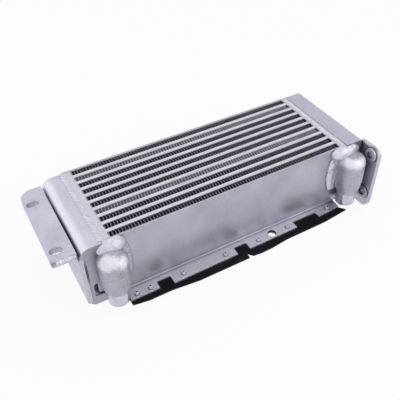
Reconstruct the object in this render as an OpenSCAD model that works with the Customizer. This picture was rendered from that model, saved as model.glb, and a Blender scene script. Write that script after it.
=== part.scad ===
// Bar and plate oil cooler with two side tanks, two cast port elbows,
// a slotted bracket on the left, an ear bracket on the right and a
// riveted rubber seal along the front edge.
// X runs along the fin rows, Y from the front plate to the back, Z up.

/* [Core] */
// Length of an air fin row
fin_length = 256; // [120:1:400]
// Number of air fin rows
air_rows = 10; // [4:1:12]
// Height of an air fin row between its two sheets
fin_height = 6.9; // [4:0.1:10]
// Height of an oil passage between its two sheets
oil_gap = 2.6; // [2:0.1:5]
// Thickness of a parting sheet
sheet_t = 0.6; // [0.4:0.1:1]
// Depth of the core along the air flow
core_depth = 75; // [70:1:110]
// Width of the bars that close the fin rows at both ends
end_bar_w = 9; // [7:0.5:14]
// Depth of the bars that close the oil passages
oil_bar_h = 6; // [4:0.5:10]
// Thickness of the front side plate
side_t = 1.7; // [1.2:0.1:3]
// Thickness of the rear side plate
rear_t = 2.6; // [1.2:0.1:4]

/* [Fins] */
// Distance from one air fin leg to the next
fin_leg_pitch = 2; // [1.6:0.1:4]
// Thickness of the air fin sheet
fin_gauge = 0.3; // [0.2:0.05:0.4]
// How far the air fins stay back from the core's faces
fin_recess = 0.2; // [0.1:0.1:3]
// Distance from one turbulator leg to the next
turb_leg_pitch = 3; // [2.5:0.5:5]
// Thickness of the turbulator sheet
turb_gauge = 0.3; // [0.2:0.05:0.4]

/* [Front flange] */
// How far the folded flange stands out
flange_w = 16.5; // [14:0.5:24]
// Distance from the fin field's left end to the flange
flange_start = 9.3; // [3:0.1:12]
// Distance from the flange to the fin field's right end, past it if negative
flange_end_gap = -1.9; // [-3:0.1:8]
// Inner bend radius of the fold
bend_r = 1.5; // [0.5:0.1:2]
// Rivet line's distance from the fold
rivet_line = 11.4; // [9:0.1:12]
// Rivet shank diameter
rivet_d = 3.2; // [2.4:0.1:4]
// Diameter of the rivet's set end
rivet_tail_d = 3.9; // [3:0.1:5.5]
// Height of the rivet's set end above the flange
rivet_tail_h = 3.8; // [2:0.1:5]
// Diameter of the rivet's head in the seal
rivet_head_d = 6.4; // [5:0.1:8]
// Thickness of the rivet's head
rivet_head_t = 1; // [0.6:0.1:1.4]
// Diameter of the locating hole in the flange and the seal
flange_hole_d = 9; // [5:0.5:10]
// Distance from the flange's outer edge to the bottom of a notch
notch_depth = 9.3; // [6:0.1:10]

/* [Rubber seal] */
// Thickness of the rubber strip
seal_t = 2; // [1.8:0.1:4]
// How far the strip stands out past the flange
seal_over = 8.5; // [3:0.5:10]

/* [Left tank] */
// Width of the left tank from the core's end to its outer face
tank_l_w = 21.5; // [20:0.5:30]
// Wall thickness of the left tank
tank_l_wall = 4; // [3:0.5:5]
// How far the left tank's top stands above the core
tank_l_rise = 1.5; // [0.5:0.1:3]
// How far the left tank's bottom stays above the core's bottom
tank_l_lift = 1.7; // [1:0.1:6]
// Radius of the left tank's long top edge
tank_l_round = 10; // [6:0.5:10]

/* [Right tank] */
// Width of the right tank from the core's end to its outer face
tank_r_w = 16.5; // [16:0.5:26]
// Wall thickness of the right tank
tank_r_wall = 3; // [2.5:0.5:4]
// Thickness of the lip that laps over the core's top
tank_r_lip_t = 2.5; // [2:0.1:4]
// How far that lip reaches over the core
tank_r_lap = 3; // [2:0.5:5]
// How far the right tank's bottom stays above the core's bottom
tank_r_lift = 2; // [1:0.5:4]

/* [Both tanks] */
// How far the tanks stand out in front of the front plate
tank_front = 3.4; // [2:0.1:4]
// How far the tanks end short of the core's rear face
tank_short = 3.4; // [1:0.1:6]
// Thickness of the tank end caps
cap_t = 4; // [3:0.5:5]

/* [Port elbows] */
// Outer diameter of a port's spigot
port_d = 21; // [16:0.5:21]
// Diameter of the machined socket in a spigot's end
socket_d = 13; // [10:0.5:13]
// Depth of that socket
socket_depth = 14; // [8:0.5:16]
// Bore of a port behind its socket
port_bore_d = 12; // [8:0.5:12]
// Length of a spigot
port_len = 16; // [10:0.5:20]
// Diameter of the cast elbow body
elbow_d = 28; // [26:0.5:30]
// Distance from the front plate to the ports' axis
port_out = 11; // [10.5:0.5:16]
// How far the spigots' ends stay above the core's bottom
port_lift = 6.5; // [4:0.5:12]
// Distance from the fin field's left end to the inlet's axis
inlet_inset = 4.9; // [3:0.1:6]
// Distance from the fin field's right end to the outlet's axis
outlet_outset = 9.5; // [8:0.1:12]

/* [Left bracket] */
// Width of the slotted plate
lb_plate_w = 22.5; // [18:0.5:40]
// Thickness of the slotted plate
lb_plate_t = 7; // [4:0.5:10]
// Depth of the slotted plate's top below the core's top
lb_drop = 2; // [0:0.5:6]
// Radius of the slotted plate's rear outer corner
lb_corner_r = 13; // [3:0.5:16]
// Thickness of the upright leg
lb_leg_t = 5; // [3:0.5:8]
// Height of the upright leg
lb_leg_h = 60; // [30:1:60]
// Length of a slot
slot_len = 11.5; // [9:0.5:14]
// Width of a slot
slot_w = 7.5; // [5:0.1:8.5]
// Distance between the two slots
slot_spacing = 67.5; // [30:0.5:70]
// Distance from the plate's front edge to the front slot
slot_front = 12; // [8:0.5:20]
// Distance from the plate's outer edge to the slots' middle
slot_edge = 8; // [7.5:0.5:10]

/* [Right bracket] */
// Thickness of the ear plate
rb_t = 5; // [3:0.5:8]
// How far the ear stands out in front of the front plate
rb_front = 28; // [26:0.5:45]
// Gap between the tank's side and the ear in front of its foot
rb_gap = 1.5; // [0.5:0.5:4]
// Height of the ear
rb_h = 76.5; // [70:0.5:90]
// How far the ear's top stands above the core
rb_rise = 0.5; // [0:0.5:5]
// Radius of the ear's front corners
rb_corner_r = 9; // [3:0.5:11]
// Diameter of the bolt holes in the ear
rb_hole_d = 8.4; // [5:0.1:9]
// Outer diameter of a weld nut
nut_d = 15; // [12:0.5:16]
// Bore of a weld nut
nut_bore_d = 6.8; // [4:0.1:8.5]
// Height of a weld nut
nut_h = 2.5; // [1.5:0.1:2.5]
// Distance between the two weld nuts
nut_spacing = 50; // [30:0.5:55]
// Distance from the ear's front edge to the weld nuts
nut_edge = 9.5; // [9:0.5:10]
// Distance from the ear's top to the upper weld nut
nut_top = 8; // [8:0.5:11]

/* [Hidden] */
$fn = 64;
e = 0.01;
big = 500;
through = 10;

// Stack of the core: rows, passages and sheets repeat at one pitch
layer = oil_gap + 2 * sheet_t;
row_pitch = fin_height + layer;
core_w = side_t + air_rows * fin_height + (air_rows - 1) * layer + rear_t;
core_x0 = -end_bar_w;
core_x1 = fin_length + end_bar_w;
core_len = core_x1 - core_x0;
core_z0 = -core_depth;

// Tanks run past the core at the front and end short of its rear face
tank_y0 = -tank_front;
tank_y1 = core_w - tank_short;
tl_x0 = core_x0 - tank_l_w;
tl_z1 = tank_l_rise;
tl_z0 = core_z0 + tank_l_lift;
tl_low_round = 7;
tl_inner_round = 3;
tr_x1 = core_x1 + tank_r_w;
tr_lip_x = core_x1 - tank_r_lap;
tr_z1 = tank_r_lip_t;
tr_z0 = core_z0 + tank_r_lift;
tr_round = 1.5;
end_inset = 2;
// Slit on the left front cap: its outer size, and its width beside and below the block it frames
slit_size = [13.3, 17];
slit_up = 11;
slit_side_w = 4;
slit_low_w = 4;
slit_deep = 2.5;
slit_round = 1.5;

// Left bracket: the leg sits in a rebate of the tank's outer wall
lb_z1 = -lb_drop;
lb_z0 = lb_z1 - lb_plate_t;
leg_seat = 3.2;
leg_x1 = tl_x0 + leg_seat;
leg_x0 = leg_x1 - lb_leg_t;
leg_z0 = lb_z0 - lb_leg_h;
lb_seat = 0.8;
lb_x1 = leg_x0 + lb_seat;
lb_x0 = lb_x1 - lb_plate_w;
lb_y0 = 0;
lb_y1 = core_w - 6;
leg_y1 = core_w - 11;
slot_x = lb_x0 + slot_edge;
slot_y0 = lb_y0 + slot_front;

// Right bracket: an ear in front, a foot on the tank's outer wall
rb_x0 = tr_x1 + rb_gap;
rb_y0 = -rb_front;
rb_z1 = rb_rise;
rb_z0 = rb_z1 - rb_h;
ear_back = 1;
ear_back_round = 4;
foot_y0 = 5;
foot_y1 = 40;
foot_z1 = -12;
foot_z0 = core_z0 + 8;
nut_y = rb_y0 + nut_edge;
nut_z1 = rb_z1 - nut_top;
nut_z0 = nut_z1 - nut_spacing;

// Ports point down, with their axes in front of the front plate
inlet_x = -inlet_inset;
outlet_x = fin_length + outlet_outset;
port_y = -port_out;
port_z = core_z0 + port_lift;
port_step_z = port_z + port_len;
spigot_chamfer = 0.4;
elbow_foot_d = port_d + 2.4;
elbow_top = -4.5;
dome_h = 10.5;
dome_z = elbow_top - dome_h;
taper_z = port_step_z + 17;
passage_d = 6;
passage_h = 24;
passage_z = dome_z - passage_h / 2 - 1.7;
inlet_passage_x = core_x0 - passage_d / 2 - 0.4;
outlet_passage_x = core_x1 + passage_d / 2 + 2.5;

// Pad of weld between an elbow and the front plate: height, and reach from the port's axis
inlet_pad = [[-2.5, 13.5], [-8, 18.2], [-19, 20.5], [-29, 21.8], [-39, 21.5], [-48, 20], [-57, 17], [-68, 14.5]];
outlet_pad = [[-0.5, 17.5], [-10, 18.3], [-14, 21.4], [-22, 23.1], [-38, 23], [-47, 21], [-54, 18.5]];
pad_r = 2.2;
pad_inner = 9.8;
pad_rise = 0.6;
pad_end_z = port_step_z - 1;

// Blob that closes a pad's top: its shift along X, its half length and the height of its flat top
inlet_blob = [3, 15, tl_z1];
outlet_blob = [-4, 18, 2];
blob_r = 9;
blob_y = -1;
blob_cut = 1;

// Front flange, its notches and its rivets, as parts of the flange's length and width
flange_x0 = flange_start;
flange_x1 = fin_length - flange_end_gap;
flange_len = flange_x1 - flange_x0;
flange_z1 = core_z0 + side_t;
notch_places = [0.134, 0.488, 0.820];
notch_widths = [15.2, 15, 30.5];
notch_r = 1.2;
flange_edge = [[-0.019, 0.97], [0.100, 0.95], [0.168, 1.05], [0.457, 1], [0.759, 0.96], [0.883, 0.89], [0.997, 0.76]];
rivet_places = [[0.013, 1], [0.071, 1], [0.216, 1], [0.410, 1], [0.572, 1], [0.720, 0.96], [0.941, 0.84]];
hole_place = [0.644, 0.88];
seal_z0 = core_z0 - seal_t;
seal_inner = -2;
seal_split = 0.493;
seal_gap = 0.003;

// Outer edge of each rubber strip: part of the flange's length, part of the strip's reach
seal_left_edge = [[-0.020, -0.55], [-0.019, 0.33], [0.047, 0.63], [0.144, 0.63], [0.260, 0.98], [seal_split, 0.98]];
seal_right_edge = [[seal_split + seal_gap, 0.32], [0.514, 0.93], [0.554, 1.05], [0.606, 1], [0.687, 0.74], [0.892, 0.68],
                   [1.018, 0.32], [0.996, -0.46]];

alu = "#c3c1d2";
alu_dark = "#a9a7b8";
cast = "#bdbbca";
bead = "#dcdae6";
fin_col = "#3a3a44";
rubber = "#141418";

// The part's origin is on the inlet's axis at the end of its spigot
module in_frame() translate([-inlet_x, -port_y, -port_z]) children();

function row_y(i) = side_t + i * row_pitch;
function oil_y(i) = row_y(i) + fin_height + sheet_t;

module slab(x0, y0, z0, x1, y1, z1) translate([x0, y0, z0]) cube([x1 - x0, y1 - y0, z1 - z0]);

// A profile drawn in X and Z, drawn out along Y
module along_y(y0, y1) translate([0, y1, 0]) rotate([90, 0, 0]) linear_extrude(y1 - y0) children();

// A profile drawn in Y and Z, drawn out along X
module along_x(x0, x1) translate([x0, 0, 0]) rotate([90, 0, 90]) linear_extrude(x1 - x0) children();

module rect(x0, y0, x1, y1) translate([x0, y0]) square([x1 - x0, y1 - y0]);

// Rectangle with one radius for each corner: low left, low right, high right, high left
module round_rect(x0, y0, x1, y1, r) {
    difference() {
        rect(x0, y0, x1, y1);
        corner(x0, y0, r[0], 1, 1);
        corner(x1, y0, r[1], -1, 1);
        corner(x1, y1, r[2], -1, -1);
        corner(x0, y1, r[3], 1, -1);
    }
}

// The waste outside a rounded corner, whose square lies towards sx, sy
module corner(x, y, r, sx, sy) {
    if (r > 0) difference() {
        translate([x, y]) mirror([sx < 0 ? 1 : 0, 0]) mirror([0, sy < 0 ? 1 : 0]) translate([-e, -e]) square(r + e);
        translate([x + sx * r, y + sy * r]) circle(r);
    }
}

// Zigzag sheet: crests at both sides, legs one pitch apart, drawn as one closed outline
module corrugated(length, height, pitch, gauge) {
    legs = floor(length / pitch);
    half = gauge / 2;
    top = height - half;
    run = [for (i = [0 : legs - 1]) each [[(i + 0.5) * pitch, i % 2 == 0 ? half : top],
                                          [(i + 0.5) * pitch, i % 2 == 0 ? top : half]]];
    last = len(run) - 1;
    // Each corner moves out along both axes, which keeps one gauge on crests and legs
    upper = [for (i = [0 : last]) run[i] + [rises(run, i) ? -half : half, half]];
    lower = [for (i = [last : -1 : 0]) run[i] + [rises(run, i) ? half : -half, -half]];
    polygon(concat(upper, lower));
}

function rises(run, i) = floor(i / 2) % 2 == 0;

module left_tank_outline() {
    difference() {
        round_rect(tl_x0, tl_z0, core_x0, tl_z1, [tl_low_round, 0, 0, tank_l_round]);
        rect(tl_x0 - e, leg_z0, leg_x1, lb_z0);
    }
}

module left_tank() color(alu) in_frame()
    along_y(tank_y0 + cap_t, tank_y1 - cap_t) difference() {
        left_tank_outline();
        round_rect(leg_x1 + tank_l_wall - 1, tl_z0 + tank_l_wall, core_x0 + big, tl_z1 - tank_l_wall,
                   [tl_inner_round, 0, 0, tl_inner_round]);
    }

module left_tank_front_cap() color(alu_dark) in_frame() difference() {
    along_y(tank_y0, tank_y0 + cap_t) left_tank_outline();
    passage(inlet_passage_x);
    cap_slit();
}

// Slit low on the front cap, round two sides of a block, partly behind the elbow
module cap_slit() {
    x0 = leg_x1 + tank_l_wall - 1;
    z0 = tl_z0 + slit_up;
    along_y(tank_y0 - e, tank_y0 + slit_deep) difference() {
        round_rect(x0, z0, x0 + slit_size[0], z0 + slit_size[1], [slit_round, 0, 0, slit_round]);
        round_rect(x0 + slit_side_w, z0 + slit_low_w, x0 + slit_size[0] + e, z0 + slit_size[1] + e,
                   [slit_round, 0, 0, 0]);
    }
}

module left_tank_rear_cap() color(alu_dark) in_frame()
    along_y(tank_y1 - cap_t, tank_y1) left_tank_outline();

module right_tank_outline() {
    round_rect(core_x1, tr_z0, tr_x1, tr_z1, [0, tr_round, tr_round, 0]);
    rect(tr_lip_x, 0, core_x1 + e, tr_z1);
}

module right_tank() color(alu) in_frame()
    along_y(tank_y0 + cap_t, tank_y1 - cap_t) difference() {
        right_tank_outline();
        rect(core_x1 - e, tr_z0 + tank_r_wall, tr_x1 - tank_r_wall, 0);
    }

module right_tank_front_cap() color(alu_dark) in_frame() difference() {
    along_y(tank_y0, tank_y0 + cap_t) right_tank_outline();
    passage(outlet_passage_x);
}

module right_tank_rear_cap() color(alu_dark) in_frame()
    along_y(tank_y1 - cap_t, tank_y1) right_tank_outline();

// Upright slot through which the oil turns from an elbow into its tank
module passage(x) {
    r = passage_d / 2;
    along_y(port_y, tank_y0 + cap_t + e) {
        translate([x, passage_z + passage_h / 2 - r]) circle(r);
        translate([x, passage_z - passage_h / 2 + r]) circle(r);
        rect(x - r, passage_z - passage_h / 2 + r, x + r, passage_z + passage_h / 2 - r);
    }
}

// Half outline of the cast body and its turned spigot, turned about the port's axis
module elbow_profile() {
    r = elbow_d / 2;
    rect(0, port_z + spigot_chamfer, port_d / 2, port_step_z);
    polygon([[0, port_z], [port_d / 2 - spigot_chamfer, port_z], [port_d / 2, port_z + spigot_chamfer],
             [0, port_z + spigot_chamfer]]);
    intersection() {
        rect(0, port_step_z, r, taper_z + e);
        translate([r - taper_r(), taper_z]) circle(taper_r(), $fn = 128);
    }
    rect(0, port_step_z, elbow_foot_d / 2, port_step_z + 1);
    rect(0, taper_z, r, dome_z);
    polygon(concat([[0, dome_z - e], [r, dome_z - e]], [for (a = [0 : 6 : 84]) [r * cos(a), dome_z + dome_h * sin(a)]],
                   [[0, elbow_top]]));
}

// Radius of the arc that draws the body in from its full width to its foot
function taper_r() =
    let (drop = taper_z - port_step_z, draw = (elbow_d - elbow_foot_d) / 2) (drop * drop + draw * draw) / (2 * draw);

module elbow_body(x) translate([x, port_y, 0]) rotate_extrude() elbow_profile();

// What the elbow is cut back to: the tank's end and the core's front
module behind_elbow(edge, side) {
    slab(side < 0 ? -big : edge, tank_y0, -big, side < 0 ? edge : big, big, big);
    slab(-big, 0, -big, big, big, big);
}

module elbow(x, passage_x, edge, side) difference() {
    elbow_body(x);
    behind_elbow(edge, side);
    translate([x, port_y, port_z - e]) cylinder(d = socket_d, h = socket_depth + e);
    translate([x, port_y, port_z]) cylinder(d = port_bore_d, h = dome_z - port_z);
    translate([x, port_y, dome_z]) sphere(d = port_bore_d);
    passage(passage_x);
}

module inlet_elbow() color(cast) in_frame() elbow(inlet_x, inlet_passage_x, core_x0, -1);
module outlet_elbow() color(cast) in_frame() elbow(outlet_x, outlet_passage_x, core_x1, 1);

// Pad of weld between an elbow and the front plate, with the blob that closes its top
module port_weld(x, edge, side, pad, blob) difference() {
    union() {
        intersection() {
            translate([0, 0, core_z0]) linear_extrude(core_depth) hull() {
                translate([x - side * (max([for (p = pad) p[1]]) - pad_r), 0]) circle(pad_r);
                translate([x - side * pad_inner, -pad_rise]) circle(pad_r);
            }
            along_y(port_y, e) polygon(concat([[x, pad[0][0]]], [for (p = pad) [x - side * p[1], p[0]]],
                                              [[x - side * port_d / 2, pad[len(pad) - 1][0]], [x, pad_end_z]]));
        }
        intersection() {
            translate([x + blob[0], blob_y, blob[2] - blob_r + blob_cut]) rotate([0, 90, 0]) rotate_extrude()
                polygon([for (a = [-90 : 10 : 90]) [blob_r * cos(a), blob[1] * sin(a)]]);
            slab(-big, -big, blob[2] - 2 * blob_r, big, big, blob[2]);
        }
    }
    behind_elbow(edge, side);
    elbow_body(x);
}

module inlet_weld() color(bead) in_frame() port_weld(inlet_x, core_x0, -1, inlet_pad, inlet_blob);
module outlet_weld() color(bead) in_frame() port_weld(outlet_x, tr_lip_x, 1, outlet_pad, outlet_blob);

// Slotted plate with one large rear corner
module left_bracket_plate() color(alu) in_frame()
    translate([0, 0, lb_z0]) linear_extrude(lb_plate_t) difference() {
        round_rect(lb_x0, lb_y0, lb_x1, lb_y1, [1, 0, 0, lb_corner_r]);
        for (i = [0, 1]) slot_outline(slot_x, slot_y0 + i * slot_spacing);
    }

module slot_outline(x, y) {
    half = (slot_len - slot_w) / 2;
    for (s = [-1, 1]) translate([x + s * half, y]) circle(d = slot_w);
    rect(x - half, y - slot_w / 2, x + half, y + slot_w / 2);
}

module left_bracket_leg() color(alu) in_frame() slab(leg_x0, tank_y0, leg_z0, leg_x1, leg_y1, lb_z0);

// Bead under the plate and bead on its front edge
module left_bracket_weld() color(bead) in_frame() {
    leg = 3.5;
    inset = 4;
    along_y(lb_y0 + inset, leg_y1 - inset)
        polygon([[leg_x0, lb_z0], [leg_x0 - leg, lb_z0], [leg_x0 - leg * 0.4, lb_z0 - leg * 0.4], [leg_x0, lb_z0 - leg]]);
    difference() {
        along_x(lb_x0 + inset, lb_x1 - 1) translate([lb_y0, lb_z1 - 2.2]) circle(2.2);
        slab(-big, lb_y0, -big, big, big, big);
    }
}

// Outline of the foot in Y and Z, which reaches back along the tank's side
module foot_outline(y0) round_rect(y0, foot_z0, foot_y1, foot_z1, [0, ear_back_round, ear_back_round, 0]);

module right_bracket() color(alu_dark) in_frame() difference() {
    union() {
        along_x(rb_x0, rb_x0 + rb_t) {
            round_rect(rb_y0, rb_z0, ear_back, rb_z1, [rb_corner_r, ear_back_round, ear_back_round, rb_corner_r]);
            foot_outline(rb_y0 + rb_corner_r);
        }
        along_x(tr_x1, rb_x0 + e) foot_outline(foot_y0);
    }
    at_nuts() cylinder(d = rb_hole_d, h = big, center = true);
}

module at_nuts() for (z = [nut_z0, nut_z1]) translate([rb_x0, nut_y, z]) rotate([0, 90, 0]) children();

module weld_nuts() color(alu) in_frame() at_nuts() translate([0, 0, -nut_h]) difference() {
    cylinder(d = nut_d, h = nut_h);
    translate([0, 0, -e]) cylinder(d = nut_bore_d, h = nut_h + 2 * e);
}

// Fillet beads along the foot's upper and lower edges
module right_bracket_weld() color(bead) in_frame() {
    leg = 3.5;
    inset = 5;
    for (s = [0, 1]) along_y(foot_y0 + 1, foot_y1 - inset)
        translate([tr_x1, s == 0 ? foot_z0 : foot_z1]) mirror([0, s == 0 ? 1 : 0])
            polygon([[0, 0], [leg, 0], [leg * 0.6, leg * 0.6], [0, leg]]);
}

// Sheet folded out at the bottom into a notched flange
module front_side_plate() color(alu_dark) in_frame() difference() {
    union() {
        slab(core_x0, 0, core_z0, core_x1, side_t, 0);
        translate([0, 0, core_z0]) linear_extrude(side_t) flange_outline();
        along_x(flange_x0, flange_x1) difference() {
            rect(-bend_r, flange_z1 - e, e, flange_z1 + bend_r);
            translate([-bend_r, flange_z1 + bend_r]) circle(bend_r);
        }
    }
    for (p = rivet_places) at_flange(p) cylinder(d = rivet_d, h = through, center = true);
    at_flange(hole_place) cylinder(d = flange_hole_d, h = through, center = true);
}

// A place on the flange: part of its length, part of the rivets' distance from the fold
module at_flange(place) translate([along_flange(place[0]), -place[1] * rivet_line, core_z0]) children();

function along_flange(part) = flange_x0 + part * flange_len;

module flange_outline() difference() {
    polygon(concat([[flange_x0, e]], [for (p = flange_edge) [along_flange(p[0]), -p[1] * flange_w]],
                   [[flange_x1, e]]));
    for (i = [0 : len(notch_places) - 1]) translate([along_flange(notch_places[i]), 0])
        round_rect(-notch_widths[i] / 2, -2 * flange_w, notch_widths[i] / 2, -flange_w + notch_depth,
                   [0, 0, notch_r, notch_r]);
}

module rear_side_plate() color(alu_dark) in_frame() slab(core_x0, core_w - rear_t, core_z0, core_x1, core_w, 0);

// Rivets through the flange and the seal, with their heads pulled into the rubber
module rivets() color(bead) in_frame() for (p = rivet_places) at_flange(p) {
    translate([0, 0, side_t]) cylinder(d = rivet_tail_d, h = rivet_tail_h);
    translate([0, 0, -seal_t]) cylinder(d = rivet_d, h = seal_t + side_t + e);
    translate([0, 0, -seal_t]) cylinder(d = rivet_head_d, h = rivet_head_t);
}

module rivet_pockets() for (p = rivet_places) at_flange(p) {
    translate([0, 0, -seal_t - e]) cylinder(d = rivet_d, h = seal_t + 2 * e);
    translate([0, 0, -seal_t - e]) cylinder(d = rivet_head_d, h = rivet_head_t + e);
}

// A rubber strip under the flange, from one part of its length to another
module seal(start, end, edge) difference() {
    translate([0, 0, seal_z0]) linear_extrude(seal_t)
        polygon(concat([[along_flange(start), seal_inner]],
                       [for (p = edge) [along_flange(p[0]), -flange_w - p[1] * seal_over]],
                       [[along_flange(end), seal_inner]]));
    rivet_pockets();
    at_flange(hole_place) cylinder(d = flange_hole_d, h = through, center = true);
}

module seal_left() color(rubber) in_frame() seal(0, seal_split, seal_left_edge);
module seal_right() color(rubber) in_frame() seal(seal_split + seal_gap, 1, seal_right_edge);

// Beads where the left tank meets the core: along the top, the bottom and the rear corner
module left_tank_weld() color(bead) in_frame() {
    w = 3;
    low = tl_z0 - core_z0;
    along_y(0, tank_y1)
        polygon([[core_x0 - w, tl_z1], [core_x0 - w * 0.6, tl_z1 + 0.8], [core_x0 + w * 0.2, tl_z1 + 0.4],
                 [core_x0 + w * 0.75, tl_z1 * 0.5], [core_x0 + w, 0], [core_x0, 0], [core_x0, tl_z1]]);
    along_y(end_inset, tank_y1 - end_inset)
        polygon([[core_x0, tl_z0], [core_x0 - low, tl_z0], [core_x0 - low * 0.4, tl_z0 - low * 0.7], [core_x0, core_z0]]);
    rear_corner_bead(core_x0, -1, tl_z0);
}

// Bead on a tank's rear end, against the end of the core that stands past it
module rear_corner_bead(x, side, z0)
    translate([0, tank_y1, z0 + end_inset]) linear_extrude(-z0 - 2 * end_inset)
        polygon([[x, 0], [x + side * tank_short, 0], [x + side * tank_short * 0.55, tank_short * 0.55], [x, tank_short - 0.4]]);

// Beads where the right tank meets the core
module right_tank_weld() color(bead) in_frame() {
    w = 5;
    low = tr_z0 - core_z0;
    along_y(0, tank_y1)
        polygon([[tr_lip_x, 0], [tr_lip_x, tr_z1 * 0.7], [tr_lip_x - w * 0.5, tr_z1 * 0.5], [tr_lip_x - w, 0]]);
    along_y(end_inset, tank_y1 - end_inset)
        polygon([[core_x1, tr_z0], [core_x1 + low, tr_z0], [core_x1 + low * 0.6, tr_z0 - low * 0.7], [core_x1, core_z0]]);
    rear_corner_bead(core_x1, 1, tr_z0);
}

module oil_bars(z0) for (i = [0 : air_rows - 2])
    slab(core_x0, oil_y(i), z0, core_x1, oil_y(i) + oil_gap, z0 + oil_bar_h);

module oil_bars_top() color(alu) in_frame() oil_bars(-oil_bar_h);
module oil_bars_bottom() color(alu) in_frame() oil_bars(core_z0);

module end_bars(x0) for (i = [0 : air_rows - 1])
    slab(x0, row_y(i), core_z0, x0 + end_bar_w, row_y(i) + fin_height, 0);

module end_bars_left() color(alu) in_frame() end_bars(core_x0);
module end_bars_right() color(alu) in_frame() end_bars(fin_length);

module parting_sheets() color(alu) in_frame() for (i = [0 : air_rows - 2], y = [oil_y(i) - sheet_t, oil_y(i) + oil_gap])
    slab(core_x0, y, core_z0, core_x1, y + sheet_t, 0);

// One corrugated air fin, its legs across the row and its channels along the air flow
module air_fin(i) color(fin_col) in_frame()
    translate([0, row_y(i - 1), core_z0 + fin_recess]) linear_extrude(core_depth - 2 * fin_recess)
        corrugated(fin_length, fin_height, fin_leg_pitch, fin_gauge);

// One corrugated sheet inside an oil passage, its channels along the oil flow
module turbulator(i) color(alu) in_frame()
    translate([core_x0 + 1, oil_y(i - 1), core_z0 + oil_bar_h]) rotate([90, 0, 90]) linear_extrude(core_len - 2)
        rotate(90) mirror([0, 1]) corrugated(core_depth - 2 * oil_bar_h, oil_gap, turb_leg_pitch, turb_gauge);

left_tank();
left_tank_front_cap();
left_tank_rear_cap();
right_tank();
right_tank_front_cap();
right_tank_rear_cap();
inlet_elbow();
outlet_elbow();
left_bracket_plate();
left_bracket_leg();
right_bracket();
weld_nuts();
front_side_plate();
rear_side_plate();
rivets();
seal_left();
seal_right();
left_tank_weld();
right_tank_weld();
inlet_weld();
outlet_weld();
left_bracket_weld();
right_bracket_weld();
oil_bars_top();
oil_bars_bottom();
end_bars_left();
end_bars_right();
parting_sheets();
for (i = [1 : air_rows]) air_fin(i);
for (i = [1 : air_rows - 1]) turbulator(i);
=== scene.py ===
"""Looks of the oil cooler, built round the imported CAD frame.

Places named W are millimetres from the fin field's front left top corner:
X along the fin rows, Y from the front plate to the back, Z up.
"""

import math

import bmesh
import bpy
import numpy as np
from mathutils import Matrix, Vector

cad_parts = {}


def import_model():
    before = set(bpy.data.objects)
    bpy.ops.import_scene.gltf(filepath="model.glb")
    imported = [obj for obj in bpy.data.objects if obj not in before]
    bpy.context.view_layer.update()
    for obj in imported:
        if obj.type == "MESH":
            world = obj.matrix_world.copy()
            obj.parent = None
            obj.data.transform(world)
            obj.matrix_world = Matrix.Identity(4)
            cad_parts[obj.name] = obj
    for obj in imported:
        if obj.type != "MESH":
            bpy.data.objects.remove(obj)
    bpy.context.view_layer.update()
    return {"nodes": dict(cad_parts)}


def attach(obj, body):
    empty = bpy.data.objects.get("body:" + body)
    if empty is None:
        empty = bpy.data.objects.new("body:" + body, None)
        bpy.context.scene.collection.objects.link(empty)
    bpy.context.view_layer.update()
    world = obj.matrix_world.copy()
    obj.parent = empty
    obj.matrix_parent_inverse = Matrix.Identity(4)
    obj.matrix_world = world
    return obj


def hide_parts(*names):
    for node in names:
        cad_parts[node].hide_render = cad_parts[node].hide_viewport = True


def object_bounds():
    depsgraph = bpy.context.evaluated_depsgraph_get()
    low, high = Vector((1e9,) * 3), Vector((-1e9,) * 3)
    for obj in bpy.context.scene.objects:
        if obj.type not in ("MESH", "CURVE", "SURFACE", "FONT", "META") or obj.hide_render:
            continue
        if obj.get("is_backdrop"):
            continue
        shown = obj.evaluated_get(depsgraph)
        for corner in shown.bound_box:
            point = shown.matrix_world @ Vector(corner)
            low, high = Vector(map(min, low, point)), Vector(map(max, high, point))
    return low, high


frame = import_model()
nodes = frame["nodes"]

# Sizes and places repeated from the solids, in W millimetres

ORIGIN = np.array([4.9, 11.0, 68.5])
ROWS, FIN_HEIGHT, PITCH, SIDE = 10, 6.9, 10.7, 1.7
CORE_DEPTH, CORE_END, TANK_END = 75.0, 256.0, 104.1
INLET, OUTLET = (-4.9, -11.0), (265.5, -11.0)
SPIGOT_END, SPIGOT_STEP = -68.5, -52.5
PIPE_R, BODY_R, FOOT_R = 10.5, 14.0, 11.7
DOME_TOP, DOME_HEIGHT = -4.5, 10.5
MIDDLE = 100.0
NUT_X, NUT_Y, NUT_ZS = 279.4, -18.5, (-7.5, -57.5)
LOCATING_HOLE = (169.4, -10.0, -74.4)
FLANGE_START, FLANGE_LENGTH, RIVET_Y = 9.3, 248.6, -11.4
RIVET_PLACES = (0.013, 1), (0.071, 1), (0.216, 1), (0.410, 1), (0.572, 1), (0.720, 0.96), (0.941, 0.84)
RIVETS = [(FLANGE_START + along * FLANGE_LENGTH, RIVET_Y * out) for along, out in RIVET_PLACES]
RIVET_TOP, RIVET_SEAT, RIVET_LOW = -69.5, -73.3, -77.0


def metres(w):
    """W millimetres to the part's frame in metres."""
    return (np.asarray(w, float) + ORIGIN) * 0.001


def millimetres(obj):
    """An object's vertices in W millimetres."""
    co = np.empty(len(obj.data.vertices) * 3)
    obj.data.vertices.foreach_get("co", co)
    return co.reshape(-1, 3) * 1000 - ORIGIN


def place(obj, w):
    """Puts an object's vertices at these W millimetres."""
    obj.data.vertices.foreach_set("co", metres(w).ravel())
    obj.data.update()


# Materials


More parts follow.
